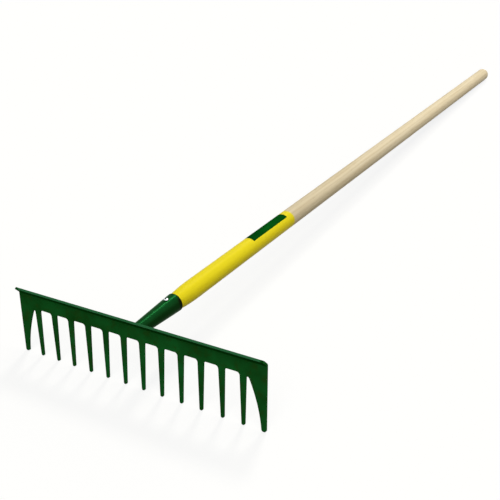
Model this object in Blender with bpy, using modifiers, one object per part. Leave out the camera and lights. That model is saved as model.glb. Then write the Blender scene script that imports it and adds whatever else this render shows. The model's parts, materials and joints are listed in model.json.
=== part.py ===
"""A garden rake: a stamped steel head welded to a rolled socket that holds a turned wooden handle."""

import math

import bmesh
import bpy
from mathutils import Matrix, Vector

MM = 0.001

# The head, drawn upright: X runs along it, Z up from the tine tips, the front face is at Y = 0
TINE_COUNT = 14
HEAD_WIDTH = 390 * MM
STEEL = 3.0 * MM
TINE_LENGTH = 68.5 * MM
TINE_ROOT_WIDTH = 8.1 * MM
TINE_TIP_WIDTH = 3.6 * MM
TINE_TIP_ROUND = 1.2 * MM
GAP_ROUND = 4.0 * MM
OUTER_TINE_ROOT_WIDTH = 24.0 * MM
OUTER_TINE_TIP_WIDTH = 5.2 * MM
OUTER_TINE_PULL_WIDTH = 8.2 * MM
OUTER_TINE_DRAFT = 1.2 * MM
OUTER_GAP_SHORT = 2.4 * MM
OUTER_GAP_ROUND = 2.4 * MM
WEB_HEIGHT = 18.0 * MM
LIP_LENGTH = 9.4 * MM
LIP_ANGLE = math.radians(47)
LIP_BEND_RADIUS = 2.0 * MM
LIP_CORNER = 2.5 * MM
EDGE_ROUND = 0.35 * MM

# The socket, a cone rolled from sheet, leaning up from the back of the web
SOCKET_RISE = 7.0 * MM
SOCKET_LEAN = math.radians(5.8)
SOCKET_LENGTH = 87 * MM
SOCKET_SMALL_RADIUS = 8.5 * MM
SOCKET_MOUTH_RADIUS = 13.1 * MM
SOCKET_WALL = 1.4 * MM
SEAM_WIDTH = 1.2 * MM

# The weld bead, an arc over the top of the socket's narrow end
WELD_RADIUS = 3.2 * MM
WELD_ARC = math.radians(236)
WELD_SEAT = 0.8 * MM
WELD_END_RADIUS = 1.8 * MM
WELD_END_RUN = 4.0 * MM
WELD_RIPPLE = 0.15 * MM
WELD_RIPPLES = 12

# The handle, turned down to the socket's bore, with a soft shoulder beyond the mouth
HANDLE_RADIUS = 14 * MM
HANDLE_LENGTH = 1405 * MM
HANDLE_NOSE_GAP = 13 * MM
NOSE_CHAMFER = 1.5 * MM
SHOULDER_LENGTH = 43 * MM
SHOULDER_EASE = 2.2
HANDLE_END_LENGTH = 10 * MM
HANDLE_END_FULLNESS = 0.8

# The screw that holds the handle in the socket
SCREW_FROM_MOUTH = 17 * MM
SCREW_HEAD_RADIUS = 3.7 * MM
SCREW_HEAD_RIM = 1.0 * MM
SCREW_DOME_HEIGHT = 1.3 * MM
SCREW_SHANK_RADIUS = 2.0 * MM
SCREW_LENGTH = 16 * MM
SCREW_POINT = 5 * MM
RECESS_SPAN = 3.8 * MM
RECESS_SLOT = 1.0 * MM
RECESS_DEPTH = 1.3 * MM

# The gap that touching pieces keep, and how finely round shapes are cut into flats
FIT_GAP = 0.3 * MM
ROUND_STEPS = 48
SCREW_STEPS = 24
CORNER_STEPS = 5
BEND_STEPS = 6
CURVE_STEPS = 8
WELD_RIPPLE_STEPS = 4
WELD_SIDES = 3
EDGE_STEPS = 2
MERGE_DISTANCE = 0.001 * MM
FLAT_ANGLE = 0.002
SHARP_ANGLE = math.radians(35)
EDGE_ANGLE = math.radians(50)


def clear_scene():
    for item in list(bpy.data.objects):
        bpy.data.objects.remove(item, do_unlink=True)


def make_collection(name):
    group = bpy.data.collections.new(name)
    bpy.context.scene.collection.children.link(group)
    return group


def make_material(name, color, roughness, metallic):
    material = bpy.data.materials.new(name)
    material.use_nodes = True
    shader = material.node_tree.nodes["Principled BSDF"]
    shader.inputs["Base Color"].default_value = (*color, 1.0)
    shader.inputs["Roughness"].default_value = roughness
    shader.inputs["Metallic"].default_value = metallic
    return material


def add_object(name, mesh, group, matrix=None):
    piece = bpy.data.objects.new(name, mesh)
    group.objects.link(piece)
    if matrix:
        piece.matrix_world = matrix
    return piece


def turned(name, profile, group, matrix, steps=ROUND_STEPS, closed=False):
    """An object turned round its Z axis from points (radius, z) that run down its outer side."""
    edges = [(index, index + 1) for index in range(len(profile) - 1)]
    if closed:
        edges.append((len(profile) - 1, 0))
    mesh = bpy.data.meshes.new(name)
    mesh.from_pydata([(radius, 0, z) for radius, z in profile], edges, [])
    piece = add_object(name, mesh, group, matrix)
    screw = piece.modifiers.new("turn", "SCREW")
    screw.axis = "Z"
    screw.angle = 2 * math.pi
    screw.steps = steps
    screw.render_steps = steps
    screw.use_merge_vertices = True
    screw.merge_threshold = MERGE_DISTANCE
    screw.use_smooth_shade = True
    return piece


def block(name, size, center, group, matrix=None):
    """A plain box, the start of a cutter."""
    mesh = bpy.data.meshes.new(name)
    body = bmesh.new()
    bmesh.ops.create_cube(body, size=1.0)
    bmesh.ops.scale(body, vec=size, verts=body.verts)
    bmesh.ops.translate(body, vec=center, verts=body.verts)
    body.to_mesh(mesh)
    body.free()
    return add_object(name, mesh, group, matrix)


def cut(piece, cutter):
    cutter.hide_render = True
    cutter.display_type = "WIRE"
    boolean = piece.modifiers.new("cut_" + cutter.name, "BOOLEAN")
    boolean.operation = "DIFFERENCE"
    boolean.solver = "EXACT"
    boolean.object = cutter


def round_edges(piece):
    bevel = piece.modifiers.new("rounded_edges", "BEVEL")
    bevel.width = EDGE_ROUND
    bevel.segments = EDGE_STEPS
    bevel.limit_method = "ANGLE"
    bevel.angle_limit = EDGE_ANGLE


def mesh_from_curve(curve, matrix):
    """The filled curve as a mesh with its caps welded on, moved by the matrix."""
    holder = bpy.data.objects.new("outline_curve", curve)
    bpy.context.scene.collection.objects.link(holder)
    bpy.context.view_layer.update()
    evaluated = holder.evaluated_get(bpy.context.evaluated_depsgraph_get())
    mesh = bpy.data.meshes.new_from_object(evaluated)
    bpy.data.objects.remove(holder, do_unlink=True)
    body = bmesh.new()
    body.from_mesh(mesh)
    bmesh.ops.remove_doubles(body, verts=body.verts, dist=MERGE_DISTANCE)
    bmesh.ops.transform(body, matrix=matrix, verts=body.verts)
    bmesh.ops.recalc_face_normals(body, faces=body.faces)
    body.to_mesh(mesh)
    body.free()
    return mesh


def rounded_corner(before, corner, after, radius):
    """Points of the arc that rounds a corner between two straight edges."""
    here = Vector(corner)
    back = (Vector(before) - here).normalized()
    forward = (Vector(after) - here).normalized()
    half = back.angle(forward) / 2
    start = here + back * (radius / math.tan(half))
    end = here + forward * (radius / math.tan(half))
    center = here + (back + forward).normalized() * (radius / math.sin(half))
    spoke = start - center
    turn = spoke.angle_signed(end - center)
    arc = []
    for step in range(CORNER_STEPS + 1):
        angle = -turn * step / CORNER_STEPS
        arc.append((center.x + spoke.x * math.cos(angle) - spoke.y * math.sin(angle),
                    center.y + spoke.x * math.sin(angle) + spoke.y * math.cos(angle)))
    return arc


def tine_pitch():
    return (HEAD_WIDTH - OUTER_TINE_TIP_WIDTH) / (TINE_COUNT - 1)


def tine_center(index):
    return (index - (TINE_COUNT - 1) / 2) * tine_pitch()


def outer_tip():
    """Where the left outer tine's outer edge, which leans in below the lip, meets its tip."""
    return -HEAD_WIDTH / 2 + OUTER_TINE_DRAFT


def inner_gap(gap):
    """Corners (x, z, radius) of the gap after a tine, from tip to tip."""
    left = tine_center(gap)
    right = tine_center(gap + 1)
    return [(left + TINE_TIP_WIDTH / 2, 0, TINE_TIP_ROUND),
            (left + TINE_ROOT_WIDTH / 2, TINE_LENGTH, GAP_ROUND),
            (right - TINE_ROOT_WIDTH / 2, TINE_LENGTH, GAP_ROUND),
            (right - TINE_TIP_WIDTH / 2, 0, TINE_TIP_ROUND)]


def left_outer_gap():
    """Corners of the gap beside the left outer tine, whose inner edge curves out towards its root."""
    root = TINE_LENGTH - OUTER_GAP_SHORT
    tip = outer_tip() + OUTER_TINE_TIP_WIDTH
    pull = OUTER_TINE_PULL_WIDTH - HEAD_WIDTH / 2
    wide = OUTER_TINE_ROOT_WIDTH - HEAD_WIDTH / 2
    corners = []
    for step in range(CURVE_STEPS + 1):
        t = step / CURVE_STEPS
        x = (1 - t) ** 2 * tip + 2 * t * (1 - t) * pull + t ** 2 * wide
        corners.append((x, root * t, 0))
    corners[0] = (*corners[0][:2], TINE_TIP_ROUND)
    corners[-1] = (*corners[-1][:2], OUTER_GAP_ROUND)
    right = tine_center(1)
    corners.append((right - TINE_ROOT_WIDTH / 2, root, OUTER_GAP_ROUND))
    corners.append((right - TINE_TIP_WIDTH / 2, 0, TINE_TIP_ROUND))
    return corners


def bend_length():
    """Length of flat sheet that the lip's bend takes up, along the middle of the sheet."""
    return LIP_ANGLE * (LIP_BEND_RADIUS + STEEL / 2)


def blank_outline():
    """Outline of the flat blank, from its top left corner down and along the tines."""
    left = -HEAD_WIDTH / 2
    top = TINE_LENGTH + WEB_HEIGHT + bend_length() + LIP_LENGTH
    outer_gap = left_outer_gap()
    corners = [(left, top, LIP_CORNER),
               (left, TINE_LENGTH + WEB_HEIGHT, 0),
               (outer_tip(), 0, TINE_TIP_ROUND)]
    corners += outer_gap
    for gap in range(1, TINE_COUNT - 2):
        corners += inner_gap(gap)
    corners += [(-x, z, radius) for x, z, radius in reversed(outer_gap)]
    corners += [(-x, z, radius) for x, z, radius in reversed(corners[:3])]
    outline = []
    for index, (x, z, radius) in enumerate(corners):
        before = corners[index - 1][:2]
        after = corners[(index + 1) % len(corners)][:2]
        if radius:
            outline += rounded_corner(before, (x, z), after, radius)
        else:
            outline.append((x, z))
    return outline


def bent(point):
    """Where a point of the upright blank goes once the lip is folded forward."""
    start = TINE_LENGTH + WEB_HEIGHT
    run = point.z - start
    if run <= 0:
        return point
    angle = min(run / (LIP_BEND_RADIUS + STEEL / 2), LIP_ANGLE)
    flat = max(run - bend_length(), 0)
    radius = LIP_BEND_RADIUS + point.y
    return Vector((point.x,
                   -LIP_BEND_RADIUS + radius * math.cos(angle) - flat * math.sin(angle),
                   start + radius * math.sin(angle) + flat * math.cos(angle)))


def make_head(group):
    outline = blank_outline()
    curve = bpy.data.curves.new("rake_blank", "CURVE")
    curve.dimensions = "2D"
    curve.fill_mode = "BOTH"
    curve.extrude = STEEL / 2
    spline = curve.splines.new("POLY")
    spline.points.add(len(outline) - 1)
    for point, (x, z) in zip(spline.points, outline):
        point.co = (x, z, 0, 1)
    spline.use_cyclic_u = True
    upright = Matrix.Translation((0, STEEL / 2, 0)) @ Matrix.Rotation(math.pi / 2, 4, "X")
    mesh = mesh_from_curve(curve, upright)

    # Make each side of the blank one face, crease it along the bend, then fold it
    body = bmesh.new()
    body.from_mesh(mesh)
    bmesh.ops.dissolve_limit(body, angle_limit=FLAT_ANGLE, verts=body.verts, edges=body.edges)
    for step in range(BEND_STEPS + 1):
        height = TINE_LENGTH + WEB_HEIGHT + bend_length() * step / BEND_STEPS
        everything = body.verts[:] + body.edges[:] + body.faces[:]
        bmesh.ops.bisect_plane(body, geom=everything, dist=MERGE_DISTANCE,
                               plane_co=(0, 0, height), plane_no=(0, 0, 1))
    for vert in body.verts:
        vert.co = bent(vert.co)
    body.to_mesh(mesh)
    body.free()
    mesh.shade_smooth()
    mesh.set_sharp_from_angle(angle=SHARP_ANGLE)
    head = add_object("rake_head", mesh, group)
    mesh.materials.append(make_material("green_paint", (0.010, 0.105, 0.035), 0.38, 0.0))
    round_edges(head)
    return head


def socket_frame():
    """Place of the socket's axis: Z along it from the back of the head, X along the head."""
    origin = Vector((0, STEEL, TINE_LENGTH + SOCKET_RISE))
    return Matrix.Translation(origin) @ Matrix.Rotation(-math.pi / 2 + SOCKET_LEAN, 4, "X")


def socket_radius(distance):
    """Outer radius of the socket at a distance along its axis from the back of the head."""
    slope = (SOCKET_MOUTH_RADIUS - SOCKET_SMALL_RADIUS) / SOCKET_LENGTH
    return SOCKET_SMALL_RADIUS + slope * distance


def bore_radius(distance):
    """Radius that fills the socket's bore at a distance along its axis, with the fit gap."""
    return socket_radius(distance) - SOCKET_WALL - FIT_GAP


def screw_place():
    return SOCKET_LENGTH - SCREW_FROM_MOUTH


def screw_frame():
    """Place of the screw's axis: Z out through the top of the socket's wall."""
    along = Matrix.Translation((0, 0, screw_place()))
    return socket_frame() @ along @ Matrix.Rotation(math.pi / 2, 4, "X")


def screw_seat():
    """Height of the underside of the screw's head over the socket's axis."""
    return socket_radius(screw_place() + SCREW_HEAD_RADIUS) + FIT_GAP


def make_plate_cutter(group):
    """Everything in front of the head's back face, with the gap that the pieces keep to it."""
    reach = 4 * SOCKET_MOUTH_RADIUS
    size = (4 * reach, 2 * reach, 4 * reach)
    center = (0, STEEL + FIT_GAP - reach, TINE_LENGTH + SOCKET_RISE)
    return block("plate_cutter", size, center, group)


def make_socket(group, cutters, plate_cutter):
    below_plate = -SOCKET_SMALL_RADIUS
    outer = [(socket_radius(SOCKET_LENGTH), SOCKET_LENGTH), (socket_radius(below_plate), below_plate)]
    inner = [(radius - SOCKET_WALL, z) for radius, z in reversed(outer)]
    socket = turned("socket", outer + inner, group, socket_frame(), closed=True)
    socket.data.materials.append(make_material("green_socket_paint", (0.010, 0.115, 0.040), 0.30, 0.0))

    seam = block("seam_cutter", (SEAM_WIDTH, 2 * SOCKET_MOUTH_RADIUS, 2 * SOCKET_LENGTH),
                 (0, SOCKET_MOUTH_RADIUS, SOCKET_LENGTH / 2), cutters, socket_frame())
    hole_radius = SCREW_SHANK_RADIUS + FIT_GAP
    hole_top = 2 * SOCKET_MOUTH_RADIUS
    hole = turned("hole_cutter", [(0, hole_top), (hole_radius, hole_top), (hole_radius, 0), (0, 0)],
                  cutters, screw_frame(), SCREW_STEPS)
    cut(socket, plate_cutter)
    cut(socket, seam)
    cut(socket, hole)
    round_edges(socket)
    return socket


def make_weld(group, cutters, plate_cutter):
    ring = SOCKET_SMALL_RADIUS + WELD_SEAT
    curve = bpy.data.curves.new("weld_path", "CURVE")
    curve.dimensions = "3D"
    curve.bevel_depth = WELD_RADIUS
    curve.bevel_resolution = WELD_SIDES
    curve.use_fill_caps = True
    spline = curve.splines.new("POLY")
    steps = WELD_RIPPLES * WELD_RIPPLE_STEPS
    spline.points.add(steps)
    for index, point in enumerate(spline.points):
        share = index / steps
        angle = math.pi / 2 + WELD_ARC * (share - 0.5)
        from_end = min(share, 1 - share) * WELD_ARC * ring
        grown = WELD_END_RADIUS + (WELD_RADIUS - WELD_END_RADIUS) * min(1, from_end / WELD_END_RUN)
        grown -= WELD_RIPPLE * (1 - math.cos(2 * math.pi * index / WELD_RIPPLE_STEPS)) / 2
        point.co = (ring * math.cos(angle), 0, ring * math.sin(angle), 1)
        point.radius = grown / WELD_RADIUS
    mesh = mesh_from_curve(curve, Matrix.Translation((0, STEEL + WELD_SEAT, TINE_LENGTH + SOCKET_RISE)))
    mesh.shade_smooth()
    mesh.set_sharp_from_angle(angle=SHARP_ANGLE)
    mesh.materials.append(make_material("green_weld_paint", (0.012, 0.110, 0.040), 0.42, 0.0))
    weld = add_object("socket_weld", mesh, group)

    reach = 2 * SOCKET_SMALL_RADIUS
    cone = turned("cone_cutter", [(0, reach), (socket_radius(reach) + FIT_GAP, reach),
                                  (socket_radius(-reach) + FIT_GAP, -reach), (0, -reach)],
                  cutters, socket_frame())
    cut(weld, plate_cutter)
    cut(weld, cone)
    return weld


def handle_profile():
    """Radius and distance along the axis, from the rounded far end down to the nose."""
    far = HANDLE_NOSE_GAP + HANDLE_LENGTH
    points = [(0, far)]
    for step in range(1, CURVE_STEPS + 1):
        angle = math.pi / 2 * step / CURVE_STEPS
        points.append((HANDLE_RADIUS * math.sin(angle) ** HANDLE_END_FULLNESS,
                       far - HANDLE_END_LENGTH * (1 - math.cos(angle))))
    neck = bore_radius(SOCKET_LENGTH)
    for step in range(CURVE_STEPS + 1):
        share = 1 - step / CURVE_STEPS
        grown = 1 - (1 - share) ** SHOULDER_EASE
        points.append((neck + (HANDLE_RADIUS - neck) * grown, SOCKET_LENGTH + SHOULDER_LENGTH * share))
    points.append((bore_radius(HANDLE_NOSE_GAP), HANDLE_NOSE_GAP + NOSE_CHAMFER))
    points.append((bore_radius(HANDLE_NOSE_GAP) - NOSE_CHAMFER, HANDLE_NOSE_GAP))
    points.append((0, HANDLE_NOSE_GAP))
    return points


def make_handle(group, cutters):
    handle = turned("handle", handle_profile(), group, socket_frame())
    handle.data.materials.append(make_material("ash_wood", (0.72, 0.58, 0.36), 0.45, 0.0))
    pilot_radius = SCREW_SHANK_RADIUS + FIT_GAP
    top = 2 * HANDLE_RADIUS
    bottom = screw_seat() - SCREW_LENGTH - FIT_GAP
    pilot = turned("pilot_cutter", [(0, top), (pilot_radius, top), (pilot_radius, bottom + SCREW_POINT),
                                    (FIT_GAP, bottom), (0, bottom)],
                   cutters, screw_frame(), SCREW_STEPS)
    cut(handle, pilot)
    return handle


def make_screw(group, cutters):
    seat = screw_seat()
    points = []
    for step in range(CORNER_STEPS + 1):
        angle = math.pi / 2 * step / CORNER_STEPS
        points.append((SCREW_HEAD_RADIUS * math.sin(angle),
                       seat + SCREW_HEAD_RIM + SCREW_DOME_HEIGHT * math.cos(angle)))
    points.append((SCREW_HEAD_RADIUS, seat))
    points.append((SCREW_SHANK_RADIUS, seat))
    points.append((SCREW_SHANK_RADIUS, seat - SCREW_LENGTH + SCREW_POINT))
    points.append((0, seat - SCREW_LENGTH))
    screw = turned("socket_screw", points, group, screw_frame(), SCREW_STEPS)
    screw.data.materials.append(make_material("zinc_plate", (0.70, 0.71, 0.72), 0.25, 1.0))
    top = (0, 0, seat + SCREW_HEAD_RIM + SCREW_DOME_HEIGHT)
    for name, size in (("recess_across", (RECESS_SPAN, RECESS_SLOT, 2 * RECESS_DEPTH)),
                       ("recess_along", (RECESS_SLOT, RECESS_SPAN, 2 * RECESS_DEPTH))):
        cut(screw, block(name, size, top, cutters, screw_frame()))
    return screw


def world_points(piece):
    evaluated = piece.evaluated_get(bpy.context.evaluated_depsgraph_get())
    return [evaluated.matrix_world @ vert.co for vert in evaluated.data.vertices]


def rest_angle(head, handle):
    """Turn about X that lays the tine tips and the handle's far end on one floor."""
    tips = world_points(head)
    far = world_points(handle)

    def height(points, angle):
        return min(point.z * math.cos(angle) + point.y * math.sin(angle) for point in points)

    low, high = -math.pi / 4, math.pi / 4
    while high - low > MERGE_DISTANCE / HANDLE_LENGTH:
        middle = (low + high) / 2
        if height(far, middle) > height(tips, middle):
            high = middle
        else:
            low = middle
    return (low + high) / 2


def stand_on_floor(pieces, cutters, angle):
    """Parent everything to one empty, lean it and bring the box's bottom centre to the origin."""
    stand = bpy.data.objects.new("rake_stand", None)
    bpy.context.scene.collection.objects.link(stand)
    for item in [*pieces, *cutters.objects]:
        item.parent = stand
    stand.rotation_euler = (angle, 0, 0)
    bpy.context.view_layer.update()
    points = [point for piece in pieces for point in world_points(piece)]
    for axis in range(2):
        values = [point[axis] for point in points]
        stand.location[axis] = -(min(values) + max(values)) / 2
    stand.location.z = -min(point.z for point in points)
    bpy.context.view_layer.update()


def main():
    clear_scene()
    rake = make_collection("garden_rake")
    cutters = make_collection("rake_cutters")
    plate_cutter = make_plate_cutter(cutters)
    head = make_head(rake)
    socket = make_socket(rake, cutters, plate_cutter)
    weld = make_weld(rake, cutters, plate_cutter)
    handle = make_handle(rake, cutters)
    screw = make_screw(rake, cutters)
    bpy.context.view_layer.update()
    stand_on_floor([head, socket, weld, handle, screw], cutters, rest_angle(head, handle))


main()
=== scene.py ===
import json
import math
import random

import bmesh
import bpy
from mathutils import Matrix, Vector


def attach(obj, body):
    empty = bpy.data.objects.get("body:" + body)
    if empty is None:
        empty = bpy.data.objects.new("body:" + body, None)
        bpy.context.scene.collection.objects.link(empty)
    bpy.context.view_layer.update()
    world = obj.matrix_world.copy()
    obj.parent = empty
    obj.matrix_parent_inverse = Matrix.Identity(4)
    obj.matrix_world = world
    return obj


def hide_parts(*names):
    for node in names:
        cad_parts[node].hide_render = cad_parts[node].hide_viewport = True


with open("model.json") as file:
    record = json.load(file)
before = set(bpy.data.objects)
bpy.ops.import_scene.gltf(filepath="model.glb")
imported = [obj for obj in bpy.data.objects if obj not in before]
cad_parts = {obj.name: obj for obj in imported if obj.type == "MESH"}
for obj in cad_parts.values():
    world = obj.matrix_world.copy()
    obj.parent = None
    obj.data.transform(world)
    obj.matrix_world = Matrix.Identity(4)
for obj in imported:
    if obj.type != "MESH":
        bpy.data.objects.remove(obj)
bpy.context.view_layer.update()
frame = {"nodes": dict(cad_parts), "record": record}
mm = 0.001
hair = mm / 10                  # what lies closer than this counts as one place
print("frame loaded:", ", ".join(sorted(frame["nodes"])))


# Small helpers for modelling by hand in code

def focus(*pieces):
    # selects these and nothing else, with the first one active
    bpy.ops.object.select_all(action="DESELECT")
    for piece in pieces:
        piece.select_set(True)
    bpy.context.view_layer.objects.active = pieces[0]


def newPiece(name, addPrimitive, **settings):
    # adds a primitive and leaves it open in edit mode, with all of it selected
    bpy.ops.object.select_all(action="DESELECT")
    addPrimitive(**settings)
    piece = bpy.context.object
    piece.name = name
    piece.data.name = name
    bpy.ops.object.transform_apply(location=True, rotation=True, scale=True)
    bpy.ops.object.mode_set(mode="EDIT")
    bpy.ops.mesh.select_all(action="SELECT")
    return piece


def copyOf(piece):
    double = piece.copy()
    double.data = piece.data.copy()
    bpy.context.scene.collection.objects.link(double)
    return double


def pick(piece, kind, wanted):
    # selects what passes the test; the kind is VERT, EDGE or FACE
    bpy.ops.mesh.select_mode(type=kind)
    bpy.ops.mesh.select_all(action="DESELECT")
    cage = bmesh.from_edit_mesh(piece.data)
    for item in {"VERT": cage.verts, "EDGE": cage.edges, "FACE": cage.faces}[kind]:
        if wanted(item):
            item.select_set(True)
    bmesh.update_edit_mesh(piece.data)


def runsAlong(edge, axis):
    step = edge.verts[1].co - edge.verts[0].co
    return abs(step[axis]) > 0.9 * step.length


def drawRing(step, growth, height):
    # draws the picked ring out along z, to this height, and widens it
    bpy.ops.mesh.extrude_region_move(TRANSFORM_OT_translate={"value": (0, 0, step)})
    bpy.ops.transform.resize(value=(growth, growth, 1), center_override=(0, 0, height))


def mergeClose():
    bpy.ops.mesh.select_all(action="SELECT")
    bpy.ops.mesh.remove_doubles(threshold=mm / 500)


def pointOutwards():
    bpy.ops.mesh.select_all(action="SELECT")
    bpy.ops.mesh.normals_make_consistent(inside=False)


def applyModifier(piece, kind, **settings):
    bpy.context.view_layer.objects.active = piece
    modifier = piece.modifiers.new(kind.lower(), kind)
    for key, value in settings.items():
        setattr(modifier, key, value)
    bpy.ops.object.modifier_apply(modifier=modifier.name)


def cutWith(piece, cutter):
    applyModifier(piece, "BOOLEAN", operation="DIFFERENCE", solver="EXACT", object=cutter)
    bpy.data.objects.remove(cutter, do_unlink=True)


def settle(piece, place, node, smoothAngle=math.radians(35)):
    # puts a finished piece where its CAD node lies, with its place in its mesh
    focus(piece)
    piece.matrix_world = place
    bpy.ops.object.transform_apply(location=True, rotation=True, scale=True)
    bpy.ops.object.shade_smooth_by_angle(angle=smoothAngle)
    applyModifier(piece, "WEIGHTED_NORMAL", weight=80, keep_sharp=True)
    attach(piece, "root")
    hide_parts(node)


# The stamped head: modelled upright, then leaned the way it rests on the floor

stamping = {
    "width": 390 * mm,
    "sheet": 3.0 * mm,
    "webHeight": 18.0 * mm,
    "tines": 14,
    "pitch": 29.6 * mm,
    "tineLength": 68.5 * mm,
    "tineRoot": 8.7 * mm,
    "tineTip": 4.3 * mm,
    "tipRound": 1.7 * mm,
    "gapRound": 4.0 * mm,
    "gapSteps": 8,
    "outerRoot": 24.0 * mm,     # the broad tine at each end, with a swept inner edge
    "outerPull": 9.0 * mm,      # the width that pulls this sweep in on its way to the root
    "outerTip": 6.2 * mm,
    "outerTipRound": 2.6 * mm,
    "outerDraft": 0.4 * mm,     # how far its outer edge leans in
    "outerGapShort": 2.4 * mm,  # how much lower the gap beside it ends
    "outerGapRound": 2.4 * mm,
    "rows": 12,                 # of points down the broad tine's sweep
    "lipLength": 9.31 * mm,
    "lipAngle": math.radians(47),
    "lipCorner": 1.6 * mm,
    "bendRadius": 2.0 * mm,
    "bendSteps": 8,
    "cornerSteps": 6,
    "under": 2.4 * mm,          # how far the gap cutters reach below the tips
    "tipReach": 3.0 * mm,       # below this height a tip leans as one
    "sharpAngle": math.radians(50),
    "punchRound": 0.4 * mm,     # the edges the punch pulled over, at the front
    "punchSteps": 4,
    "burrRound": 0.25 * mm,     # the crisper edges at the back
    "burrSteps": 2,
    # how far each tip stands beside its root, from the left: use has left none of them straight
    "leans": [lean * mm for lean in (2.2, 2.1, 1.5, 0.2, 0.3, -0.2, -0.3,
                                     -0.5, -0.8, -0.5, -0.4, 0.9, 0.6, 0.3)],
}
webTop = stamping["tineLength"] + stamping["webHeight"]

faceMount = frame["record"]["mounts"][0]
faceHeight = 77.5 * mm          # of that face's point over the tine tips
lift = 0.02 * mm                # keeps the tips just off the floor
leanAngle = -math.atan2(faceMount["axis"][2], -faceMount["axis"][1])
headPlace = (Matrix.Translation(faceMount["pos_m"]) @ Matrix.Rotation(leanAngle, 4, "X")
             @ Matrix.Translation((0, 0, lift - faceHeight)))


def tangentReach(radius, lean):
    # how far from a corner its rounding starts, where one side leans away from square
    return radius / math.tan((math.pi / 2 + lean) / 2)


def firstSlimTine():
    # the middle of the slim tine beside the broad left one
    return -stamping["pitch"] * (stamping["tines"] - 3) / 2


def outerGapMiddle():
    # the middle of the gap between these two, at its root
    broadSide = stamping["outerRoot"] - stamping["width"] / 2
    slimSide = firstSlimTine() - stamping["tineRoot"] / 2
    return (broadSide + slimSide) / 2


def gapBlock(name, left, right, top):
    # a block that fills one gap up to its root, from a little below the tips
    block = newPiece(name, bpy.ops.mesh.primitive_cube_add, size=1)
    under = stamping["under"]
    bpy.ops.transform.resize(value=(right - left, 4 * stamping["sheet"], top + under),
                             center_override=(0, 0, 0))
    bpy.ops.transform.translate(value=((left + right) / 2, stamping["sheet"] / 2, (top - under) / 2))
    return block


def makeInnerGap():
    # the gap between two slim tines, centred on x = 0
    top = stamping["tineLength"]
    slope = (stamping["tineRoot"] - stamping["tineTip"]) / top
    wide = stamping["pitch"] - stamping["tineTip"] + slope * stamping["under"]
    narrow = stamping["pitch"] - stamping["tineRoot"]
    block = gapBlock("gap", -wide / 2, wide / 2, top)
    pick(block, "FACE", lambda face: face.normal.z > 0.9)
    bpy.ops.transform.resize(value=(narrow / wide, 1, 1), center_override=(0, 0, top))
    pick(block, "EDGE", lambda edge: runsAlong(edge, 1) and edge.verts[0].co.z > top / 2)
    bpy.ops.mesh.bevel(offset=tangentReach(stamping["gapRound"], math.atan(slope / 2)),
                       segments=stamping["gapSteps"])
    bpy.ops.object.mode_set(mode="OBJECT")
    return block


def makeOuterGap():
    # the gap beside the broad left tine, whose inner edge sweeps out towards its root
    edge = -stamping["width"] / 2
    tip = edge + stamping["outerDraft"] + stamping["outerTip"]
    pull = edge + stamping["outerPull"]
    root = edge + stamping["outerRoot"]
    top = stamping["tineLength"] - stamping["outerGapShort"]
    slope = (stamping["tineRoot"] - stamping["tineTip"]) / 2 / top
    right = firstSlimTine() - stamping["tineTip"] / 2 + slope * stamping["under"]
    rows = stamping["rows"]
    block = gapBlock("outerGap", tip, right, top)
    pick(block, "VERT", lambda vert: vert.co.z > top / 2 and vert.co.x > right - mm)
    bpy.ops.transform.translate(value=(-slope * (top + stamping["under"]), 0, 0))
    pick(block, "EDGE", lambda side: runsAlong(side, 2))
    bpy.ops.mesh.subdivide(number_cuts=rows - 1)
    for row in range(rows + 1):
        height = (top + stamping["under"]) * row / rows - stamping["under"]
        t = height / top
        swept = (1 - t) ** 2 * tip + 2 * t * (1 - t) * pull + t ** 2 * root
        pick(block, "VERT", lambda vert: abs(vert.co.z - height) < hair and vert.co.x < tip + hair)
        bpy.ops.transform.translate(value=(swept - tip, 0, 0))
    sweepLean = math.atan2(2 * (root - pull), top)
    for side, lean in ((-1, sweepLean), (1, math.atan(slope))):
        pick(block, "EDGE", lambda corner: runsAlong(corner, 1) and corner.verts[0].co.z > top - hair
             and side * (corner.verts[0].co.x - outerGapMiddle()) > 0)
        bpy.ops.mesh.bevel(offset=tangentReach(stamping["outerGapRound"], lean),
                           segments=stamping["cornerSteps"])
    bpy.ops.object.mode_set(mode="OBJECT")
    return block


def makeBlank():
    # the sheet before punching
    sheet = stamping["sheet"]
    head = newPiece("rakeHead", bpy.ops.mesh.primitive_cube_add, size=1)
    bpy.ops.transform.resize(value=(stamping["width"], sheet, webTop), center_override=(0, 0, 0))
    bpy.ops.transform.translate(value=(0, sheet / 2, webTop / 2))

    # the outer tines lean in a little towards their tips
    pick(head, "FACE", lambda face: face.normal.z < -0.9)
    draft = 1 - 2 * stamping["outerDraft"] / stamping["width"]
    bpy.ops.transform.resize(value=(draft, 1, 1), center_override=(0, 0, 0))

    # fold the lip forward over the bend, draw it out straight and round its corners
    pick(head, "FACE", lambda face: face.normal.z > 0.9)
    bpy.ops.mesh.spin(steps=stamping["bendSteps"], angle=-stamping["lipAngle"],
                      center=(0, -stamping["bendRadius"], webTop), axis=(1, 0, 0))
    reach = stamping["lipLength"]
    bpy.ops.mesh.extrude_region_move(TRANSFORM_OT_translate={"value": (
        0, -reach * math.sin(stamping["lipAngle"]), reach * math.cos(stamping["lipAngle"]))})
    bendTop = webTop + 4 * mm
    pick(head, "EDGE", lambda edge: min(vert.co.z for vert in edge.verts) > bendTop
         and abs(edge.verts[0].co.x - edge.verts[1].co.x) < hair and edge.calc_length() < 1.1 * sheet)
    bpy.ops.mesh.bevel(offset=stamping["lipCorner"], segments=stamping["cornerSteps"])
    bpy.ops.object.mode_set(mode="OBJECT")
    return head


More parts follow.
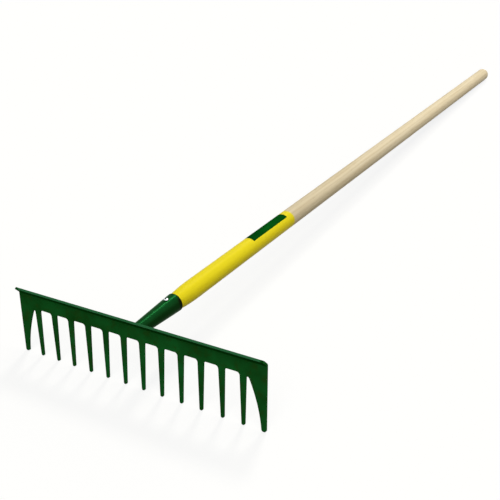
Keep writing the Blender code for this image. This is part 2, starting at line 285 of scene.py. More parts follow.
def punchGaps(head):
    blocks = [makeOuterGap()]
    mirrored = copyOf(blocks[0])
    mirrored.scale.x = -1
    blocks.append(mirrored)
    inner = makeInnerGap()
    innerCount = stamping["tines"] - 3
    for index in range(innerCount):
        block = copyOf(inner)
        block.location.x = (index - (innerCount - 1) / 2) * stamping["pitch"]
        blocks.append(block)
    bpy.data.objects.remove(inner, do_unlink=True)
    focus(*blocks)
    bpy.ops.object.transform_apply(location=True, rotation=True, scale=True)
    bpy.ops.object.join()
    bpy.ops.object.mode_set(mode="EDIT")
    pointOutwards()
    bpy.ops.object.mode_set(mode="OBJECT")
    cutWith(head, blocks[0])


def leanTines(head):
    # each tine is shifted row by row, so that its root stays and its tip moves the whole way
    top = stamping["tineLength"] - stamping["outerGapShort"]
    rowStep = (top + stamping["under"]) / stamping["rows"]
    heights = [0] + [row * rowStep - stamping["under"] for row in range(1, stamping["rows"])]
    between = [(index - stamping["tines"] / 2) * stamping["pitch"]
               for index in range(stamping["tines"] + 1)]
    between[1] = outerGapMiddle()
    between[-2] = -between[1]
    for index, lean in enumerate(stamping["leans"]):
        for height in heights:
            reach = stamping["tipReach"] if height == 0 else hair
            pick(head, "VERT", lambda vert: abs(vert.co.z - height) < reach
                 and between[index] < vert.co.x < between[index + 1])
            bpy.ops.transform.translate(value=(lean * (1 - height / top), 0, 0))


def roundEdges(head):
    # the tips first, then the punched edges in front and the sharper ones behind
    bpy.context.view_layer.objects.active = head
    bpy.ops.object.mode_set(mode="EDIT")
    innerEnd = stamping["width"] / 2 - stamping["outerRoot"]
    for rounding, isOuter in (("tipRound", False), ("outerTipRound", True)):
        pick(head, "EDGE", lambda edge: runsAlong(edge, 1)
             and max(vert.co.z for vert in edge.verts) < hair
             and (abs(edge.verts[0].co.x) > innerEnd) == isOuter)
        bpy.ops.mesh.bevel(offset=stamping[rounding], segments=stamping["cornerSteps"])
    mergeClose()
    leanTines(head)

    def isSharp(edge):
        return edge.calc_face_angle(0) > stamping["sharpAngle"]

    def facesForward(face):
        return face.normal.y < -0.6 and face.normal.z < 0.3

    pick(head, "EDGE", lambda edge: isSharp(edge) and any(facesForward(face) for face in edge.link_faces))
    bpy.ops.mesh.bevel(offset=stamping["punchRound"], segments=stamping["punchSteps"])
    pick(head, "EDGE", isSharp)
    bpy.ops.mesh.bevel(offset=stamping["burrRound"], segments=stamping["burrSteps"])
    mergeClose()
    bpy.ops.object.mode_set(mode="OBJECT")


head = makeBlank()
punchGaps(head)
roundEdges(head)
settle(head, headPlace, "rake_head")
print("head punched and folded:", len(head.data.polygons), "faces")


# The socket rolled from sheet

rolled = {
    "rise": 7.0 * mm,           # of its axis over the roots of the gaps, at the sheet
    "lean": math.radians(5.8),
    "length": 87 * mm,
    "smallRadius": 8.5 * mm,
    "mouthRadius": 13.1 * mm,
    "wall": 1.4 * mm,
    "seam": 1.2 * mm,
    "holeFromMouth": 17 * mm,
    "holeRadius": 2.3 * mm,
    "holeSides": 32,
    "edgeRound": 0.35 * mm,
    "edgeSteps": 3,
    "edgeAngle": math.radians(50),
    "bite": 0.2 * mm,           # how far it is sunk into the sheet
    "sides": 96,
    "rings": 12,
}
socketStart = (0, stamping["sheet"], stamping["tineLength"] + rolled["rise"])
socketPlace = (headPlace @ Matrix.Translation(socketStart)
               @ Matrix.Rotation(rolled["lean"] - math.pi / 2, 4, "X"))


def socketRadius(distance):
    growth = (rolled["mouthRadius"] - rolled["smallRadius"]) / rolled["length"]
    return rolled["smallRadius"] + growth * distance


def makeSocket():
    # drawn out along z from well inside the sheet, and trimmed to it later
    start = -rolled["smallRadius"]
    socket = newPiece("rolledSocket", bpy.ops.mesh.primitive_circle_add, vertices=rolled["sides"],
                      radius=socketRadius(start), location=(0, 0, start))
    pick(socket, "EDGE", lambda edge: True)
    step = (rolled["length"] - start) / rolled["rings"]
    for ring in range(1, rolled["rings"] + 1):
        height = start + ring * step
        drawRing(step, socketRadius(height) / socketRadius(height - step), height)

    # open the seam underneath
    for side in (-1, 1):
        bpy.ops.mesh.select_all(action="SELECT")
        bpy.ops.mesh.bisect(plane_co=(side * rolled["seam"] / 2, 0, 0), plane_no=(1, 0, 0))
    pick(socket, "FACE", lambda face: abs(face.calc_center_median().x) < rolled["seam"] / 2
         and face.calc_center_median().y > 0)
    bpy.ops.mesh.delete(type="FACE")

    # trim the narrow end to the back of the sheet, a touch deep so that the weld joins them
    toSheet = Matrix.Rotation(math.pi / 2 - rolled["lean"], 4, "X") @ Vector((0, 1, 0))
    bpy.ops.mesh.select_all(action="SELECT")
    bpy.ops.mesh.bisect(plane_co=toSheet * -rolled["bite"], plane_no=toSheet, clear_inner=True)
    pointOutwards()
    bpy.ops.object.mode_set(mode="OBJECT")
    applyModifier(socket, "SOLIDIFY", thickness=rolled["wall"], offset=-1, use_even_offset=True)

    hole = newPiece("screwHole", bpy.ops.mesh.primitive_cylinder_add, vertices=rolled["holeSides"],
                    radius=rolled["holeRadius"], depth=2 * rolled["mouthRadius"],
                    location=(0, -rolled["mouthRadius"], rolled["length"] - rolled["holeFromMouth"]),
                    rotation=(math.pi / 2, 0, 0))
    bpy.ops.object.mode_set(mode="OBJECT")
    cutWith(socket, hole)
    applyModifier(socket, "BEVEL", width=rolled["edgeRound"], segments=rolled["edgeSteps"],
                  limit_method="ANGLE", angle_limit=rolled["edgeAngle"])
    settle(socket, socketPlace, "socket")
    return socket


socket = makeSocket()
print("socket rolled:", len(socket.data.polygons), "faces")


# The weld bead round the top of the socket's narrow end

bead = {
    "radius": 3.2 * mm,
    "arc": math.radians(236),
    "seat": 0.8 * mm,
    "endRadius": 1.8 * mm,
    "endRun": 4.0 * mm,
    "ripples": 26,
    "ringsPerRipple": 6,
    "ripple": 0.22 * mm,
    "uneven": 0.03,             # how much one ripple differs from the next
    "seed": 7,
    "bite": 0.2 * mm,           # how far it is sunk into the sheet
    "sides": 24,
    "smoothAngle": math.radians(60),
}


def makeWeld():
    ringRadius = rolled["smallRadius"] + bead["seat"]
    middle = Vector((0, stamping["sheet"] + bead["seat"], stamping["tineLength"] + rolled["rise"]))
    rings = bead["ripples"] * bead["ringsPerRipple"]
    first = (math.pi - bead["arc"]) / 2     # from the side, counted towards the top
    weld = newPiece("weldBead", bpy.ops.mesh.primitive_circle_add, vertices=bead["sides"],
                    radius=bead["radius"], fill_type="NGON", location=middle + Vector((ringRadius, 0, 0)))
    bpy.ops.object.mode_set(mode="OBJECT")
    weld.data.transform(Matrix.Translation(middle) @ Matrix.Rotation(-first, 4, "Y")
                        @ Matrix.Translation(-middle))
    bpy.ops.object.mode_set(mode="EDIT")
    bpy.ops.mesh.select_all(action="SELECT")
    bpy.ops.mesh.spin(steps=rings, angle=bead["arc"], center=middle, axis=(0, 1, 0))

    # pinch each ring: the ripples overlap like coins, and both ends run out thin
    dice = random.Random(bead["seed"])
    sizes = [1 + dice.uniform(-bead["uneven"], bead["uneven"]) for _ in range(bead["ripples"] + 1)]
    lengthways = Vector((0, 1, 0))
    inPlane = 1e-9          # for points of the ring itself, as an area in square metres
    for ring in range(rings + 1):
        angle = first + bead["arc"] * ring / rings
        center = middle + ringRadius * Vector((math.cos(angle), 0, math.sin(angle)))
        fromEnd = min(ring, rings - ring) / rings * bead["arc"] * ringRadius
        share = min(1, fromEnd / bead["endRun"])
        grown = bead["endRadius"] + (bead["radius"] - bead["endRadius"]) * share
        ripple, phase = divmod(ring, bead["ringsPerRipple"])
        radius = grown * sizes[ripple] - bead["ripple"] * phase / bead["ringsPerRipple"]
        scale = radius / bead["radius"]
        pick(weld, "VERT", lambda vert: (vert.co - center).length < 1.01 * bead["radius"]
             and abs((vert.co - middle).cross(center - middle).dot(lengthways)) < inPlane)
        bpy.ops.transform.resize(value=(scale, scale, scale), center_override=center)
    pointOutwards()
    bpy.ops.mesh.bisect(plane_co=(0, stamping["sheet"] - bead["bite"], 0), plane_no=(0, 1, 0),
                        use_fill=True, clear_inner=True)
    bpy.ops.object.mode_set(mode="OBJECT")
    settle(weld, headPlace, "socket_weld", bead["smoothAngle"])
    return weld


weld = makeWeld()
print("weld laid:", len(weld.data.polygons), "faces")


# The turned handle, and the band on it

turning = {
    "radius": 14 * mm,
    "length": 1404.95 * mm,
    "noseGap": 13 * mm,         # from the sheet to the end inside the socket
    "noseChamfer": 1.5 * mm,
    "fitGap": 0.3 * mm,
    "shoulder": 43 * mm,
    "shoulderEase": 2.2,        # the higher, the sooner it is full past the socket's mouth
    "endLength": 10 * mm,
    "endFullness": 0.8,
    "endFlat": 0.1,
    "curveSteps": 16,
    "stretches": 20,
    "sides": 96,
}
bandCut = {
    "from": 277 * mm,
    "to": 377 * mm,
    "halfAngle": math.radians(37),
    "thickness": 0.06 * mm,
}


def turnedPiece(name, rings, sides):
    # rings are (radius, height), drawn out one after the other from one flat end to the other
    piece = newPiece(name, bpy.ops.mesh.primitive_circle_add, vertices=sides, radius=rings[0][0],
                     fill_type="TRIFAN", location=(0, 0, rings[0][1]))
    for before, after in zip(rings, rings[1:]):
        drawRing(after[1] - before[1], after[0] / before[0], after[1])
    pointOutwards()
    bpy.ops.object.mode_set(mode="OBJECT")
    return piece


def boreRadius(distance):
    return socketRadius(distance) - rolled["wall"] - turning["fitGap"]


def makeHandle():
    nose = turning["noseGap"]
    far = nose + turning["length"]
    mouth = rolled["length"]
    neck = boreRadius(mouth)
    rings = [(boreRadius(nose) - turning["noseChamfer"], nose),
             (boreRadius(nose), nose + turning["noseChamfer"])]
    steps = turning["curveSteps"]
    for step in range(steps + 1):
        share = step / steps
        grown = 1 - (1 - share) ** turning["shoulderEase"]
        rings.append((neck + (turning["radius"] - neck) * grown, mouth + turning["shoulder"] * share))
    rings += [(turning["radius"], bandCut["from"]), (turning["radius"], bandCut["to"])]
    straight = far - turning["endLength"] - bandCut["to"]
    for stretch in range(1, turning["stretches"]):
        rings.append((turning["radius"], bandCut["to"] + straight * stretch / turning["stretches"]))
    for step in range(steps):
        angle = math.pi / 2 * (1 - step / steps)
        rings.append((turning["radius"] * math.sin(angle) ** turning["endFullness"],
                      far - turning["endLength"] * (1 - math.cos(angle))))
    rings.append((turning["endFlat"] * rings[-1][0], far))
    handle = turnedPiece("turnedHandle", rings, turning["sides"])
    settle(handle, socketPlace, "handle")
    return handle


def makeBand(stick):
    # a plain coloured band laid on the lacquer, cut from a copy of the stick's own faces
    band = copyOf(stick)
    band.name = band.data.name = "plainBand"
    focus(band)
    bpy.ops.object.mode_set(mode="EDIT")
    back = socketPlace.inverted()

    def isOutside(face):
        spot = back @ face.calc_center_median()
        turn = math.atan2(spot.x, -spot.y)
        return not (bandCut["from"] < spot.z < bandCut["to"] and abs(turn) < bandCut["halfAngle"])

    pick(band, "FACE", isOutside)
    bpy.ops.mesh.delete(type="FACE")
    bpy.ops.object.mode_set(mode="OBJECT")
    applyModifier(band, "SOLIDIFY", thickness=bandCut["thickness"], offset=1)
    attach(band, "root")
    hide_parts("handle")
    return band


handle = makeHandle()
print("handle turned:", len(handle.data.polygons), "faces")
band = makeBand(handle)
print("band laid on:", len(band.data.polygons), "faces")


# The screw that keeps the handle in the socket

fastener = {
    "length": 16 * mm,
    "point": 5 * mm,
    "pointRadius": 0.2 * mm,
    "shankRadius": 2.0 * mm,
    "headRadius": 3.1 * mm,
    "seatGap": 0.3 * mm,
    "chamfer": 0.2 * mm,
    "rim": 0.6 * mm,
    "dome": 1.2 * mm,
    "domeSteps": 10,
    "domeFlat": 0.2 * mm,
    "slotSpan": 4.4 * mm,
    "slotWidth": 1.8 * mm,
    "slotDepth": 1.4 * mm,
    "slotTaper": (0.6, 0.8, 1),
    "sides": 48,
}
screwPlace = (socketPlace @ Matrix.Translation((0, 0, rolled["length"] - rolled["holeFromMouth"]))
              @ Matrix.Rotation(math.pi / 2, 4, "X"))


def screwSeat():
    # the underside of the head, clear of the widest part of the socket that it covers
    widest = rolled["length"] - rolled["holeFromMouth"] + fastener["headRadius"]
    return socketRadius(widest) + fastener["seatGap"]


def makeScrew():
    seat = screwSeat()
    rimTop = seat + fastener["rim"]
    headTop = rimTop + fastener["dome"]
    rings = [(fastener["pointRadius"], seat - fastener["length"]),
             (fastener["shankRadius"], seat - fastener["length"] + fastener["point"]),
             (fastener["shankRadius"], seat),
             (fastener["headRadius"] - fastener["chamfer"], seat),
             (fastener["headRadius"], seat + fastener["chamfer"])]
    for step in range(fastener["domeSteps"]):
        angle = math.pi / 2 * (1 - step / fastener["domeSteps"])
        rings.append((fastener["headRadius"] * math.sin(angle),
                      rimTop + fastener["dome"] * math.cos(angle)))
    rings.append((fastener["domeFlat"], headTop))
    screw = turnedPiece("domedScrew", rings, fastener["sides"])
    slotSize = (fastener["slotSpan"], fastener["slotWidth"], 2 * fastener["slotDepth"])
    for quarter in range(2):
        slot = newPiece("slot", bpy.ops.mesh.primitive_cube_add, size=1, location=(0, 0, headTop))
        bpy.ops.transform.resize(value=slotSize, center_override=(0, 0, headTop))
        pick(slot, "FACE", lambda face: face.normal.z < -0.9)
        bpy.ops.transform.resize(value=fastener["slotTaper"], center_override=(0, 0, headTop))
        bpy.ops.object.mode_set(mode="OBJECT")
        slot.rotation_euler.z = quarter * math.pi / 2
        bpy.context.view_layer.update()
        cutWith(screw, slot)
    settle(screw, screwPlace, "socket_screw")
    return screw


screw = makeScrew()
print("screw driven:", len(screw.data.polygons), "faces")


# Small helpers for the finishes

def addNode(tree, kind, inputs=None, **settings):
    # a node with its settings, and its inputs set to a value or joined to a socket
    node = tree.nodes.new(kind)
    for key, value in settings.items():
        setattr(node, key, value)
    for key, value in (inputs or {}).items():
        if isinstance(value, bpy.types.NodeSocket):
            tree.links.new(value, node.inputs[key])
        else:
            node.inputs[key].default_value = value
    return node


def calculate(tree, operation, first, second=None, clamp=False):
    inputs = {0: first} if second is None else {0: first, 1: second}
    return addNode(tree, "ShaderNodeMath", inputs, operation=operation, use_clamp=clamp).outputs[0]


def vectorMath(tree, operation, *inputs):
    return addNode(tree, "ShaderNodeVectorMath", dict(enumerate(inputs)), operation=operation).outputs


def remap(tree, value, low, high, newLow=0.0, newHigh=1.0, smooth=False):
    inputs = {"Value": value, "From Min": low, "From Max": high, "To Min": newLow, "To Max": newHigh}
    kind = "SMOOTHSTEP" if smooth else "LINEAR"
    return addNode(tree, "ShaderNodeMapRange", inputs, interpolation_type=kind).outputs["Result"]


def blendColor(tree, factor, first, second, share=1.0):
    # colours are sockets, or written as red, green and blue; share is how strong the second gets
    if share < 1.0:
        factor = calculate(tree, "MULTIPLY", factor, share)
    first, second = ((*color, 1) if isinstance(color, tuple) else color for color in (first, second))
    return addNode(tree, "ShaderNodeMix", {0: factor, 6: first, 7: second}, data_type="RGBA").outputs[2]


def objectPlace(tree):
    return addNode(tree, "ShaderNodeTexCoord").outputs["Object"]


def surfaceNormal(tree):
    return addNode(tree, "ShaderNodeNewGeometry").outputs["Normal"]


def mapped(tree, place, location=(0, 0, 0), rotation=(0, 0, 0), scale=(1, 1, 1)):
    inputs = {"Vector": place, "Location": location, "Rotation": rotation, "Scale": scale}
    return addNode(tree, "ShaderNodeMapping", inputs).outputs["Vector"]


def noise(tree, place, scale, detail, roughness=0.5, distortion=0.0):
    inputs = {"Vector": place, "Scale": scale, "Detail": detail, "Roughness": roughness,
              "Distortion": distortion}
    return addNode(tree, "ShaderNodeTexNoise", inputs).outputs


def direction(place, vector):
    # a direction that is written upright, turned to where the piece lies
    return (place.to_3x3() @ Vector(vector)).normalized()


def planeMask(tree, point, outward, fade):
    # 0 behind a plane, 1 in front of it, with a soft border
    along = vectorMath(tree, "DOT_PRODUCT", objectPlace(tree), outward)["Value"]
    start = point.dot(outward)
    return remap(tree, along, start - fade / 2, start + fade / 2, smooth=True)


def newGroup(name, inputs, outputs):
    tree = bpy.data.node_groups.new(name, "ShaderNodeTree")
    for socketName, value in inputs:
        socket = tree.interface.new_socket(name=socketName, in_out="INPUT", socket_type="NodeSocketFloat")
        socket.default_value = value
    for socketName in outputs:
        tree.interface.new_socket(name=socketName, in_out="OUTPUT", socket_type="NodeSocketFloat")
    return tree, tree.nodes.new("NodeGroupInput").outputs, tree.nodes.new("NodeGroupOutput").inputs


def useGroup(tree, group, inputs):
    return addNode(tree, "ShaderNodeGroup", inputs, node_tree=group).outputs


def newMaterial(name, specular, metallic=0.0, tint=(1, 1, 1)):
    material = bpy.data.materials.new(name)
    material.use_nodes = True
    shader = material.node_tree.nodes["Principled BSDF"]
    shader.inputs["Specular IOR Level"].default_value = specular
    shader.inputs["Metallic"].default_value = metallic
    shader.inputs["Specular Tint"].default_value = (*tint, 1)
    return material, material.node_tree, shader.inputs


def roughen(tree, shader, height, depth):
    bump = addNode(tree, "ShaderNodeBump", {"Height": height, "Strength": 1.0, "Distance": depth})
    tree.links.new(bump.outputs["Normal"], shader["Normal"])


# What all the paint shares

sprayed = {
    "blotchEdge": (0.3, 0.7),
    "speckScale": 130.0,
    "speckSize": 0.09,
}
sharpEdgeLook = {
    "edge": (0.99, 0.85),       # how well the rounded and the flat normal still agree
    "samples": 6,
    "patchScale": 180.0,
    "patchEdge": (0.35, 0.65),
}


def makePaintSkin():
    # sprayed paint: soft blotches of tone, orange peel, and the odd speck of dust under it
    inputs = (("Blotch Scale", 60.0), ("Peel Scale", 700.0), ("Dust", 0.5))
    tree, given, result = newGroup("paintSkin", inputs, ("Tone", "Height"))
    place = objectPlace(tree)
    blotch = noise(tree, place, given["Blotch Scale"], 3.0, roughness=0.55, distortion=0.3)["Fac"]
    tree.links.new(remap(tree, blotch, *sprayed["blotchEdge"]), result["Tone"])
    peel = noise(tree, place, given["Peel Scale"], 2.0, roughness=0.4)["Fac"]
    specks = addNode(tree, "ShaderNodeTexVoronoi", {"Vector": place, "Scale": sprayed["speckScale"]})
    bump = remap(tree, specks.outputs["Distance"], 0.0, sprayed["speckSize"], 1.0, 0.0, smooth=True)
    height = calculate(tree, "ADD", peel, calculate(tree, "MULTIPLY", bump, given["Dust"]))
    tree.links.new(height, result["Height"])
    return tree


def makeThinLitEdges():
    # where the surface turns sharply, broken up a little; it lightens edges as paint drawn thin and as a
    # painted highlight
    inputs = (("Width", 0.6 * mm), ("Patchiness", 0.5))
    tree, given, result = newGroup("thinLitEdges", inputs, ("Mask",))
    rounded = addNode(tree, "ShaderNodeBevel", {"Radius": given["Width"]}, samples=sharpEdgeLook["samples"])
    match = vectorMath(tree, "DOT_PRODUCT", rounded.outputs["Normal"], surfaceNormal(tree))["Value"]
    edge = remap(tree, match, *sharpEdgeLook["edge"])
    patches = noise(tree, objectPlace(tree), sharpEdgeLook["patchScale"], 4.0)["Fac"]
    kept = remap(tree, patches, *sharpEdgeLook["patchEdge"])
    uneven = calculate(tree, "SUBTRACT", 1.0, calculate(tree, "MULTIPLY", given["Patchiness"], kept))
    tree.links.new(calculate(tree, "MULTIPLY", edge, uneven, clamp=True), result["Mask"])
    return tree


paintSkin = makePaintSkin()
thinLitEdges = makeThinLitEdges()

greenPaint = {
    "deep": (0.0070, 0.062, 0.0080),
    "fresh": (0.0095, 0.132, 0.0235),
    "thinAndLit": (0.0300, 0.150, 0.0600),    # lighter green: paint drawn thin over edges plus a painted edge highlight, and the painted highlight on the lip's sheared end
    "tint": (0.1, 0.6, 0.2),            # of its gloss at the edges
    "peelDepth": 0.015 * mm,
}


# The head's paint

headCoat = {
    "flake": 0.13,                      # the part of it that shines green, like fine flake
    "skin": {"Blotch Scale": 24.0, "Peel Scale": 800.0, "Dust": 0.4},
    "rough": (0.46, 0.56),
    "olive": (0.0200, 0.058, 0.0060),   # where the primer shows through a little
    "oliveSkin": {"Blotch Scale": 95.0},
    "oliveFrom": 0.45,
    "oliveShare": 0.48,
    "edgeLook": {"Width": 0.7 * mm, "Patchiness": 0.4},
    "edgeLookShare": 0.45,
    "fold": (0.0022, 0.050, 0.0045),    # painted shade under the folded lip
    "foldBelow": 0.5 * mm,
    "foldFade": 1.5 * mm,
    "foldFacing": (0.72, 0.92),
    "shear": 0.3 * mm,                  # the lip's sheared end, which gets a painted highlight
    "shearShare": 0.9,
    "cornerReach": (7 * mm, 3 * mm),    # from the head's ends, where the sheared end's painted highlight turns to painted shade
}


def makeHeadPaint():
    material, tree, shader = newMaterial("headPaint", 0.0, headCoat["flake"], greenPaint["tint"])
    skin = useGroup(tree, paintSkin, headCoat["skin"])
    tone = blendColor(tree, skin["Tone"], greenPaint["deep"], greenPaint["fresh"])
    patches = useGroup(tree, paintSkin, headCoat["oliveSkin"])["Tone"]
    olive = remap(tree, patches, headCoat["oliveFrom"], 1.0, 0.0, headCoat["oliveShare"], smooth=True)
    tone = blendColor(tree, olive, tone, headCoat["olive"])
    # lighter edges: paint drawn thin over them, and a painted highlight along them
    edgeLook = useGroup(tree, thinLitEdges, headCoat["edgeLook"])["Mask"]
    withEdges = blendColor(tree, edgeLook, tone, greenPaint["thinAndLit"], headCoat["edgeLookShare"])

    # painted shade on the underside of the lip and of the bend, where they face down
    slope = stamping["lipAngle"]
    underside = direction(headPlace, (0, -math.cos(slope), -math.sin(slope)))
    facing = vectorMath(tree, "DOT_PRODUCT", surfaceNormal(tree), underside)["Value"]
    foldStart = headPlace @ Vector((0, 0, webTop - headCoat["foldBelow"]))
    aboveWeb = planeMask(tree, foldStart, direction(headPlace, (0, 0, 1)), headCoat["foldFade"])
    below = remap(tree, facing, *headCoat["foldFacing"], smooth=True)
    folded = calculate(tree, "MULTIPLY", aboveWeb, below)
    foldShaded = blendColor(tree, folded, withEdges, headCoat["fold"])

    # painted highlight on the lip's sheared end, turning to painted shade at its two corners
    bend = stamping["bendRadius"]
    bendEnd = headPlace @ Vector((0, -bend * (1 - math.cos(slope)), webTop + bend * math.sin(slope)))
    outward = direction(headPlace, (0, -math.sin(slope), math.cos(slope)))
    shearStart = bendEnd + outward * (stamping["lipLength"] - headCoat["shear"])
    lipEnd = planeMask(tree, shearStart, outward, headCoat["shear"])
    parts = addNode(tree, "ShaderNodeSeparateXYZ", {"Vector": objectPlace(tree)}).outputs
    corner = remap(tree, calculate(tree, "ABSOLUTE", parts["X"]),
                   *(stamping["width"] / 2 - reach for reach in headCoat["cornerReach"]), smooth=True)
    lipEndLightAndShade = blendColor(tree, corner, greenPaint["thinAndLit"], headCoat["fold"])
    color = blendColor(tree, lipEnd, foldShaded, lipEndLightAndShade, headCoat["shearShare"])
    tree.links.new(color, shader["Base Color"])
    tree.links.new(remap(tree, skin["Tone"], 0.0, 1.0, *headCoat["rough"]), shader["Roughness"])
    roughen(tree, shader, skin["Height"], greenPaint["peelDepth"])
    return material


# The socket's paint

socketCoat = {
    "deep": (0.0026, 0.047, 0.0085),
    "fresh": (0.0042, 0.062, 0.0135),
    "flake": 0.26,
    "gloss": 0.02,
    "skin": {"Blotch Scale": 70.0, "Peel Scale": 900.0, "Dust": 0.25},
    "rough": (0.26, 0.31),
    "edgeLook": {"Width": 0.5 * mm, "Patchiness": 0.5},
    "edgeLookShare": 0.3,
    "litFrom": (-0.36, 0.0, 0.93),
    "under": (0.0040, 0.022, 0.0030),   # painted shade on the side facing away from the light
    "underFrom": 0.85,
    "underTo": -0.10,
    "underShare": 0.78,
    # painted shade at the socket's mouth
    "mouthShade": (0.0060, 0.0070, 0.0020),
    "mouthShadeBack": 1.8 * mm,              # painted shade round the mouth
    "mouthShadeFade": 2.4 * mm,
    "mouthShadeShare": 0.6,
    "lowBack": 5.2 * mm,                # and further back on the shaded side below
    "lowFade": 4.6 * mm,
    "lowEdge": (0.15, 0.7),
    "lowShare": 0.95,
}


def makeSocketPaint():
    material, tree, shader = newMaterial("socketPaint", socketCoat["gloss"], socketCoat["flake"],
                                         greenPaint["tint"])
    skin = useGroup(tree, paintSkin, socketCoat["skin"])
    tone = blendColor(tree, skin["Tone"], socketCoat["deep"], socketCoat["fresh"])
    # painted shade on the side facing away from the light
    above = vectorMath(tree, "DOT_PRODUCT", surfaceNormal(tree), socketCoat["litFrom"])["Value"]
    shadedSide = remap(tree, above, socketCoat["underFrom"], socketCoat["underTo"], smooth=True)
    tone = blendColor(tree, shadedSide, tone, socketCoat["under"], socketCoat["underShare"])
    # lighter edges: paint drawn thin over them, and a painted highlight along them
    edgeLook = useGroup(tree, thinLitEdges, socketCoat["edgeLook"])["Mask"]
    withEdges = blendColor(tree, edgeLook, tone, greenPaint["thinAndLit"], socketCoat["edgeLookShare"])

    # painted shade round the mouth, reaching further back on the shaded side below
    def mouthShadeMask(back, fade):
        start = socketPlace @ Vector((0, 0, rolled["length"] - back))
        return planeMask(tree, start, direction(socketPlace, (0, 0, 1)), fade)

    mouth = mouthShadeMask(socketCoat["mouthShadeBack"], socketCoat["mouthShadeFade"])
    allRound = calculate(tree, "MULTIPLY", mouth, socketCoat["mouthShadeShare"])
    low = remap(tree, shadedSide, *socketCoat["lowEdge"], 0.0, socketCoat["lowShare"], smooth=True)
    wider = mouthShadeMask(socketCoat["lowBack"], socketCoat["lowFade"])
    below = calculate(tree, "MULTIPLY", wider, low)
    color = blendColor(tree, calculate(tree, "MAXIMUM", allRound, below), withEdges, socketCoat["mouthShade"])
    tree.links.new(color, shader["Base Color"])
    tree.links.new(remap(tree, skin["Tone"], 0.0, 1.0, *socketCoat["rough"]), shader["Roughness"])
    roughen(tree, shader, skin["Height"], greenPaint["peelDepth"])
    return material


# The plainer paints, of the weld and of the band

weldCoat = {
    "deep": greenPaint["deep"],
    "fresh": greenPaint["fresh"],
    "flake": 0.26,
    "gloss": 0.04,
    "skin": {"Blotch Scale": 220.0, "Peel Scale": 1500.0, "Dust": 0.6},
    "rough": (0.28, 0.42),
    "depth": 0.08 * mm,
}
bandCoat = {
    "deep": (0.0016, 0.066, 0.0060),
    "fresh": (0.0026, 0.082, 0.0090),
    "flake": 0.13,
    "gloss": 0.0,
    "skin": {"Blotch Scale": 120.0, "Peel Scale": 1400.0, "Dust": 0.1},
    "rough": (0.36, 0.46),
    "depth": 0.01 * mm,
}


def makePlainPaint(name, coat):
    material, tree, shader = newMaterial(name, coat["gloss"], coat["flake"], greenPaint["tint"])
    skin = useGroup(tree, paintSkin, coat["skin"])
    tree.links.new(blendColor(tree, skin["Tone"], coat["deep"], coat["fresh"]), shader["Base Color"])
    tree.links.new(remap(tree, skin["Tone"], 0.0, 1.0, *coat["rough"]), shader["Roughness"])
    roughen(tree, shader, skin["Height"], coat["depth"])
    return material


# The handle's wood, with lacquer on its lower part

timber = {
    "pale": (0.93, 0.815, 0.590),
    "warm": (0.82, 0.680, 0.440),
    "line": (0.62, 0.480, 0.290),
    "gloss": 0.05,
    "glossTint": (1, 0.9, 0.55),
    "rough": (0.50, 0.62),
    "grainDepth": 0.12 * mm,
    "shade": 0.16,                      # how much darker it is beside the lacquer
    "shadeReach": (0.42, 0.95),         # metres along the stick, from there to where it ends
    "ringsPerMetre": 165.0,
    "ringStretch": (1.0, 1.0, 0.03),
    "ringEdge": (0.45, 1.0),
    "ringShare": 0.20,
    "pithOffset": (0.021, 0.013, 0.0),
    "wander": (0.006, 0.006, 0.0),
    "wanderScale": 90.0,
    "streakStretch": (1.0, 1.0, 0.022),
    "streakScale": 260.0,
    "streakEdge": (0.34, 0.66),
    "streakShare": 0.65,
    "patchStretch": (1.0, 1.0, 0.25),
    "patchScale": 34.0,
    "patchEdge": (0.3, 0.7),
    "poreStretch": (1.0, 1.0, 0.05),
    "poreScale": 1900.0,
    "poreEdge": (0.60, 0.70),
    "poreShare": 0.5,
}
lacquer = {
    "color": (0.91, 0.762, 0.0145),
    "orange": (0.89, 0.680, 0.0110),    # where it is thick
    "deep": (0.77, 0.640, 0.0090),      # over the wood's darker streaks
    "deepShare": 0.32,
    "thickEdge": (0.52, 0.72),
    "thickShare": 0.5,
    "end": 392 * mm,
    "fade": 5.0 * mm,
    "waver": 1.5 * mm,
    "waverScale": 70.0,
    "smoother": 0.15,                   # than the bare wood
    "grainLeft": 0.25,
}
turnsPerScale = 20 / (2 * math.pi)      # of the wave texture, in a metre


